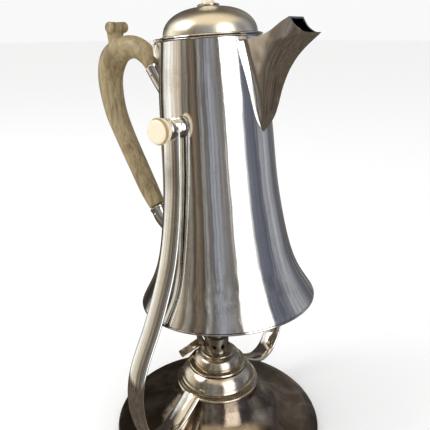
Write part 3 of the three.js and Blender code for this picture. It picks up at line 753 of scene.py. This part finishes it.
class COFFEEPOT_OT_lid(CoffeePotPiece, bpy.types.Operator):
    """Domed lid with its flange, bezel, hinge and bone finial"""
    bl_idname = "coffeepot.lid"
    bl_label = "Lid"

    def build(self):
        radius, rise, wall = sizes().dome_radius / MM, sizes().dome_rise / MM, sizes().wall / MM
        seat = 56.7
        arc = []
        for i in range(25):
            t = math.pi / 2 * i / 24
            arc.append((radius * math.cos(t) ** 0.8, seat + rise * math.sin(t) ** 0.95))
        dome = ring(walled([p for p in arc if p[0] > 3] + [(2.6, seat + rise)], wall), 144)
        self.lid_piece(dome, "dome_sheet", "lid_dome", "satin_silver")
        self.lid_piece(ring([(28.6, 55.1), (33.8, 55.0), (34.6, 55.15), (34.9, 55.6), (34.75, 56.0),
                             (34.2, 56.15), (33.6, 56.15), (33.4, 56.4), (28.6, 56.4)], 144),
                       "flange_moulding", "lid_flange")
        self.lid_piece(ring([(30, 47.8), (30.8, 47.8), (31.2, 54.7), (29.2, 54.7), (29.4, 53.7), (30, 53.4)]),
                       "bezel_band", "lid_bezel")
        top = seat + rise
        self.lid_piece(ring([(2.6, top + 0.3), (6.8, top + 0.2), (7.3, top + 0.55), (7.4, top + 0.9),
                             (7.1, top + 1.3), (6.4, top + 1.6), (2.6, top + 1.6)]), "washer_moulding",
                       "finial_washer")
        neck = top + 1.9
        bulb = curve_through([(4.4, neck), (3.9, neck + 2.2), (4.4, neck + 5), (6.4, neck + 8),
                              (7.6, neck + 11.6), (6.9, neck + 15.4), (4.4, neck + 18.1), (0, neck + 19.1)],
                             6)
        seated(into_pot(turned([(0, neck + 12.5), (1.9, neck + 12.5), (1.9, neck), *bulb], 96)),
               "finial_bulb", "lid", "bone", "finial")
        for node in ("lid_hinge", "finial_stud", "finial_nut"):
            seated(fine_copy(node, 0.2), node + "_fine", "lid", "silver_plate", node)
        for node in ("body_hinge", "hinge_pin"):
            seated(fine_copy(node, 0.2), node + "_fine", "pot", "silver_plate", node)

    @staticmethod
    def lid_piece(piece, name, node, finish=None):
        seated(into_pot(piece), name, "lid", "silver_plate", node, finish=finish)


class COFFEEPOT_OT_trunnions(CoffeePotPiece, bpy.types.Operator):
    """Trunnion pins with their bone knobs, and the bosses that they screw into"""
    bl_idname = "coffeepot.trunnions"
    bl_label = "Trunnions"

    def build(self):
        height = pivot().z
        knob_r = sizes().knob_radius / MM
        for side, far in (("near", False), ("far", True)):
            shank = turned([(0, 33.5), (1.8, 33.5), (2.2, 34.1), (2.2, 46.9), (5.5, 46.9), (6.0, 47.3),
                            (6.1, 47.7), (5.9, 48.3), (5.5, 48.7), (2.2, 48.7), (2.2, 55), (0, 55)])
            seated(along_y(shank, height, far), f"sleeve_{side}", f"{side}_pin", "silver_plate",
                   f"trunnion_pin_{side}")
            waist = curve_through([(5.6, 49.0), (6.2, 49.9), (7.3, 51.2), (7.9, 52.5), (7.8, 53.6)], 5)
            bulge = turned([(0, 55.3), (2.5, 55.3), (2.5, 49), *waist, (7.3, 54.0), (7.0, 54.3), (7.0, 55.9),
                            (7.3, 56.1), (7.6, 56.5), (7.55, 57.0), (7.2, 57.5), (6.5, 57.85), (5.7, 57.9),
                            (4, 57.75), (0, 57.7)], 96)
            seated(along_y(bulge, height, far), f"knob_{side}", f"{side}_pin", "bone", f"bone_knob_{side}")
            self.beads(side, height, far, knob_r)
            boss = ring([(2.5, 36), (6.0, 36), (6.4, 36.6), (6.4, 40.2), (6.0, 40.7), (2.5, 40.7)], 96)
            body = turned([(0, 20), (38.3, 20), (38.3, -20), (0, -20)], 128)
            combined(along_y(boss, 0, far), body, "DIFFERENCE")
            seated(into_pot(boss), f"boss_{side}", "pot", "silver_plate", f"trunnion_boss_{side}")

    @staticmethod
    def beads(side, height, far, knob_r):
        """A milled ring of small beads in the knob's groove."""
        count = 34
        deselect()
        bpy.ops.mesh.primitive_uv_sphere_add(segments=10, ring_count=6, radius=0.85 * MM)
        bead = bpy.context.object
        bead.scale = (0.9, 0.95, 0.85)
        bead.location = ((knob_r - 0.95) * MM, 0, 55.15 * MM)
        settle(bead)
        copies = [bead]
        for i in range(1, count):
            copy = bpy.data.objects.new("bead", bead.data.copy())
            bpy.context.scene.collection.objects.link(copy)
            copy.rotation_euler.z = TAU * i / count
            copies.append(settle(copy))
        seated(along_y(joined(*copies), height, far), f"milled_ring_{side}", f"{side}_pin", "bone",
               angle=80, finish="bone_groove")


class COFFEEPOT_OT_arms(CoffeePotPiece, bpy.types.Operator):
    """Half-round arms that bow out, turn under and run in to the burner collar"""
    bl_idname = "coffeepot.arms"
    bl_label = "Arms"

    LINE = ((43.9, 228.2), (43.9, 206), (44, 187), (46.4, 161), (50.9, 138.7), (57.9, 120.1), (65.8, 103.1),
            (74.9, 87.1), (79.5, 75.9), (81, 62.9), (78.5, 46.9), (73.2, 34.5), (64.2, 25.8), (53.5, 23.8),
            (43.1, 27.3), (33.8, 32.7), (29, 35.9))

    EYE_IN, EYE_OUT, EYE_BORE = 41.4, 46.5, 2.5
    COLLAR_ROOM = 29.9

    def build(self):
        half, thick = sizes().arm_width / MM / 2, sizes().arm_thickness / MM * 0.5
        for side, far in (("near", False), ("far", True)):
            arm = swept(curve_through([(out, h, thick, half) for out, h in self.LINE], 5), 36, 0.8)
            arm.rotation_euler.z = math.radians(90 if far else -90)
            settle(arm)
            eye = turned([(0, self.EYE_IN), (6.3, self.EYE_IN), (6.9, self.EYE_IN + 0.6),
                          (6.9, self.EYE_OUT - 0.6), (6.3, self.EYE_OUT), (0, self.EYE_OUT)], 64)
            combined(arm, along_y(eye, pivot().z, far), "UNION")
            bore = turned([(0, 20), (self.EYE_BORE, 20), (self.EYE_BORE, 70), (0, 70)], 48)
            combined(arm, along_y(bore, pivot().z, far), "DIFFERENCE")
            face = turned([(0, 30), (9, 30), (9, self.EYE_IN), (0, self.EYE_IN)], 48)
            combined(arm, along_y(face, pivot().z, far), "DIFFERENCE")
            room = turned([(0, 0), (self.COLLAR_ROOM, 0), (self.COLLAR_ROOM, 46), (0, 46)], 96)
            combined(arm, room, "DIFFERENCE")
            seated(arm, f"arm_strap_{side}", "stand", "silver_plate", f"arm_{side}", angle=34)


class COFFEEPOT_OT_foot(CoffeePotPiece, bpy.types.Operator):
    """Round foot with its edge moulding, its closing plate and the collar for the burner"""
    bl_idname = "coffeepot.foot"
    bl_label = "Foot"

    def build(self):
        edge = sizes().foot_radius / MM
        skin = curve_through([(27.4, 32.6), (29.3, 26), (34.3, 18.7), (43.3, 12.6), (54.6, 9.1), (66, 7),
                              (edge - 1.4, 4.4)], 8)
        # The foot's skin and moulding take the finish whose darkened colour paints their dark reflections.
        seated(ring(walled(skin, 1.6), 160), "foot_skin", "stand", "silver_plate", "foot",
               finish="painted_reflection_silver")
        rim = ring([(edge - 3, 0), (edge - 1, 0), (edge - 0.3, 0.3), (edge, 1.0), (edge, 2.6),
                    (edge - 0.3, 3.3), (edge - 1.0, 3.8), (edge - 1.6, 3.7), (edge - 3, 2.4)], 160)
        seated(rim, "foot_moulding", "stand", "silver_plate", "foot_rim", finish="painted_reflection_silver")
        cover = turned([(0, 0), (edge - 4.4, 0), (edge - 3.5, 0.7), (edge - 3.5, 1.9), (edge - 4, 2), (0, 2)],
                       96)
        seated(cover, "foot_plate", "stand", "worn_silver", "foot_cover")
        collar = ring([(26, 33.0), (28.7, 33.0), (29.3, 33.3), (29.6, 33.9), (29.6, 34.8), (29.2, 35.4),
                       (28.6, 35.6), (27.2, 36.0), (26, 35.7)], 144)
        seated(collar, "collar_moulding", "stand", "worn_silver", "burner_collar")


class COFFEEPOT_OT_burner(CoffeePotPiece, bpy.types.Operator):
    """Spirit burner: tank, cap, pierced gallery, wick and the snuffer thrown back on its hinge"""
    bl_idname = "coffeepot.burner"
    bl_label = "Burner"

    def build(self):
        shoulder = curve_through([(25.75, 38.5), (25.2, 40.8), (24.0, 43.6), (22.6, 45.4), (21.3, 46.7)], 5)
        tank = turned([(0, 9), (22, 9), (24.2, 10), (25, 12), (25, 36.0), (27.4, 36.3), (27.8, 36.7),
                       (27.75, 37.3), (27.2, 37.6), (26.3, 37.7), *shoulder, (14, 46.7), (14, 45.5),
                       (20.8, 45.3), (23.4, 40.7), (23.8, 36.3), (23.8, 12.5), (21, 10.2), (0, 10.2)], 144)
        seated(tank, "tank_sheet", "burner", "worn_silver", "burner_tank")
        dome = curve_through([(17.3, 49.0), (16.8, 51.7), (14.9, 54.9), (12.0, 56.8)], 7)
        cap = ring([(13.4, 44.0), (13.4, 47.0), (20.1, 47.0), (20.7, 47.3), (20.8, 47.9), (20.4, 48.6),
                    (19.5, 48.8), *dome, (11.8, 57.2), (11.3, 57.4), (5.6, 57.4), (5.6, 56.2), (10.8, 55.8),
                    (13.8, 54.0), (15.6, 51.2), (16, 48.2), (12.2, 48.2), (12.2, 44.0)], 144)
        seated(cap, "cap_sheet", "burner", "worn_silver", "burner_cap")
        tube = ring([(4.1, 30), (5, 30), (5, 69.3), (4.8, 69.6), (4.3, 69.6), (4.1, 69.3)], 64)
        seated(tube, "wick_sleeve", "burner", "worn_silver", "wick_tube")
        gallery = ring([(8.2, 57.7), (8.2, 67.7), (7.9, 68.3), (7.2, 68.6), (5.4, 68.6), (5.4, 67.6),
                        (7.1, 67.4), (7.1, 58.7), (5.4, 58.7), (5.4, 57.7)], 96)
        holes, hole, gallery_radius, hole_height = 8, 1.7, 8.2, 62.9
        for i in range(holes):
            bpy.ops.mesh.primitive_cylinder_add(
                vertices=24, radius=hole * MM, depth=6 * MM, rotation=(0, math.pi / 2, 0),
                location=(gallery_radius * MM, 0, hole_height * MM))
            punch = settle(bpy.context.object)
            punch.rotation_euler.z = TAU * (i + 0.5) / holes
            combined(gallery, settle(punch), "DIFFERENCE")
        seated(bevelled(gallery, 0.15), "pierced_gallery", "burner", "worn_silver", "wick_gallery")
        wick = turned([(0, 12), (3.4, 12), *curve_through([(3.7, 16), (3.7, 69.6), (3.6, 70.8), (3.0, 71.8),
                                                           (1.6, 72.3), (0, 72.4)], 5)], 48)
        seated(wick, "plaited_wick", "burner", "cotton", "wick", angle=60)
        for node in ("snuffer_bracket", "snuffer_pin"):
            seated(fine_copy(node, 0.2), node + "_fine", "burner", "worn_silver", node)
        for node in ("snuffer_cap", "snuffer_lever"):
            seated(fine_copy(node, 0.3, 40), node + "_fine", "snuffer", "worn_silver", node)


class COFFEEPOT_OT_stage(CoffeePotPiece, bpy.types.Operator):
    """Pale floor, a room for the silver to reflect, soft lights and the camera"""
    bl_idname = "coffeepot.stage"
    bl_label = "Stage"

    # The walls round the pot, from behind it by its left and its front to behind again: place and colour.
    WALLS = ((0.0, (0.05, 0.04, 0.032)), (0.13, (0.04, 0.036, 0.032)), (0.156, (0.80, 0.79, 0.76)),
             (0.20, (1.15, 1.13, 1.08)), (0.245, (0.85, 0.79, 0.68)), (0.295, (0.55, 0.47, 0.36)),
             (0.312, (0.13, 0.10, 0.075)), (0.335, (0.34, 0.31, 0.27)), (0.35, (0.08, 0.065, 0.05)),
             (0.38, (0.20, 0.15, 0.105)), (0.40, (0.07, 0.06, 0.05)), (0.418, (0.42, 0.41, 0.40)),
             (0.432, (0.12, 0.11, 0.10)), (0.465, (0.34, 0.36, 0.41)), (0.515, (0.26, 0.25, 0.25)),
             (0.545, (0.14, 0.12, 0.105)), (0.565, (2.2, 2.2, 2.2)), (0.635, (2.2, 2.2, 2.2)),
             (0.66, (0.16, 0.17, 0.21)), (0.72, (0.12, 0.13, 0.17)), (0.76, (0.30, 0.31, 0.35)),
             (0.80, (0.40, 0.41, 0.45)), (0.86, (0.10, 0.105, 0.13)), (0.93, (0.24, 0.235, 0.23)),
             (1.0, (0.05, 0.04, 0.032)))
    FRONT = math.radians(-50.5)  # the direction of the front, where the middle of the walls is
    BACKDROP = 0.95  # the strength of the plain pale backdrop
    HIGH, LOW = (0.60, 0.76), (-0.22, -0.34)  # where the walls fade to the ceiling and to the ground

    def build(self):
        scene = bpy.context.scene
        scene.view_settings.view_transform = "Standard"
        self.floor()
        self.room(scene)
        self.lights(scene)
        self.camera(scene)

    @staticmethod
    def floor():
        made, s = material("floor")
        tones = finishes()
        cloud = s.noise(s.place(), 3, 3.0)
        pale = tuple(tones.floor)
        s.surface({"Base Color": s.mix(cloud * 0.1, pale, tuple(0.98 * c for c in pale))}, {"Roughness": 0.9})
        deselect()
        bpy.ops.mesh.primitive_plane_add(size=30)
        floor = bpy.context.object
        floor.name = "floor"
        floor.data.materials.append(made)
        floor.visible_glossy = False

    @staticmethod
    def room(scene):
        """What the silver reflects: dark behind, softboxes on both sides, brown below and champagne above."""
        world = bpy.data.worlds.new("room")
        world.use_nodes = True
        scene.world = world
        s = Shader(world.node_tree)
        way = s.add("ShaderNodeTexCoord")
        parts = s.add("ShaderNodeSeparateXYZ", None, {0: way})
        node = parts.output.node
        x, y, z = (Value(s, node.outputs[i]) for i in range(3))
        front = COFFEEPOT_OT_stage.FRONT
        turned_x = x * math.cos(front) + y * math.sin(front)
        turned_y = y * math.cos(front) - x * math.sin(front)
        around = turned_y.math("ARCTAN2", turned_y, turned_x) * (1 / TAU) + 0.5
        drawn_out = s.add("ShaderNodeMapping", None, {"Vector": way, "Scale": (24, 24, 1.6)})
        ripple = s.noise(drawn_out, 1.0, 3.0, 0.6)
        walls = s.ramp(around + (ripple - 0.5) * 0.05, *COFFEEPOT_OT_stage.WALLS)
        overhead = s.span(z, *COFFEEPOT_OT_stage.HIGH)
        brown, champagne = (0.06, 0.045, 0.035), (0.90, 0.78, 0.60)
        ceiling = s.mix(s.span(turned_x, -0.35, -0.1), brown, champagne)
        dark_ground, light_ground = (0.075, 0.058, 0.045), (0.16, 0.13, 0.10)
        ground = s.mix(s.span(ripple, 0.35, 0.7), dark_ground, light_ground)
        seen = s.mix(s.span(z, *COFFEEPOT_OT_stage.LOW), s.mix(overhead, walls, ceiling), ground)
        strength = s.span(ripple, 0.35, 0.65, 0.55, 1.4) * (1 - overhead) + overhead
        reflected = s.add("ShaderNodeBackground", None, {"Color": seen, "Strength": strength})
        plain = s.add("ShaderNodeBackground", None, {"Color": (1, 1, 1, 1),
                                                     "Strength": COFFEEPOT_OT_stage.BACKDROP})
        rays = s.add("ShaderNodeLightPath")
        glossy = Value(s, rays.output.node.outputs["Is Glossy Ray"])
        mixed = s.add("ShaderNodeMixShader", None, {0: glossy, 1: plain, 2: reflected})
        s.add("ShaderNodeOutputWorld", None, {"Surface": mixed})

    @staticmethod
    def lights(scene):
        power = scene.coffee_pot_stage.key_power
        middle = Vector((0, 0, 0.15))
        lamps = (("key", (-0.7, -0.9, 1.1), 0.7, 1.0), ("fill", (1.2, -0.3, 0.7), 0.9, 0.4))
        for name, place, size, share in lamps:
            data = bpy.data.lights.new(name, "AREA")
            data.size = size
            data.energy = power * share
            light = bpy.data.objects.new(name, data)
            scene.collection.objects.link(light)
            light.location = place
            light.rotation_euler = (middle - light.location).to_track_quat("-Z", "Y").to_euler()

    @staticmethod
    def camera(scene):
        stage = scene.coffee_pot_stage
        data = bpy.data.cameras.new("camera")
        data.lens = stage.lens
        data.clip_start = 0.01
        data.shift_x, data.shift_y = stage.shift
        camera = bpy.data.objects.new("camera", data)
        scene.collection.objects.link(camera)
        upright = math.radians(90) - stage.camera_pitch
        place = Matrix.Rotation(stage.camera_heading, 4, "Z") @ Matrix.Rotation(upright, 4, "X")
        camera.matrix_world = (Matrix.Translation(stage.camera_place) @ place
                               @ Matrix.Rotation(stage.camera_roll, 4, "Z"))
        scene.camera = camera


class COFFEEPOT_PT_panel(bpy.types.Panel):
    """Sizes, colours and the steps that build the coffee pot"""
    bl_idname = "COFFEEPOT_PT_panel"
    bl_label = "Coffee Pot"
    bl_space_type = "VIEW_3D"
    bl_region_type = "UI"
    bl_category = "Coffee Pot"

    def draw(self, context):
        for group in GROUPS:
            box = self.layout.box()
            for key in getattr(context.scene, group).bl_rna.properties.keys():
                if key not in {"rna_type", "name"}:
                    box.prop(getattr(context.scene, group), key)
        for step in STEPS:
            self.layout.operator(step.bl_idname)


STEPS = (COFFEEPOT_OT_body, COFFEEPOT_OT_spout, COFFEEPOT_OT_handle, COFFEEPOT_OT_lid, COFFEEPOT_OT_trunnions,
         COFFEEPOT_OT_arms, COFFEEPOT_OT_foot, COFFEEPOT_OT_burner, COFFEEPOT_OT_stage)
CLASSES = (*GROUPS.values(), *STEPS, COFFEEPOT_PT_panel)


def register():
    for item in CLASSES:
        bpy.utils.register_class(item)
    for name, group in GROUPS.items():
        setattr(bpy.types.Scene, name, bpy.props.PointerProperty(type=group))


def unregister():
    for name in GROUPS:
        delattr(bpy.types.Scene, name)
    for item in reversed(CLASSES):
        bpy.utils.unregister_class(item)


def main():
    register()
    prepare_finishes()
    for step in STEPS:
        getattr(bpy.ops.coffeepot, step.bl_idname.split(".")[1])()


if __name__ == "__main__":
    main()
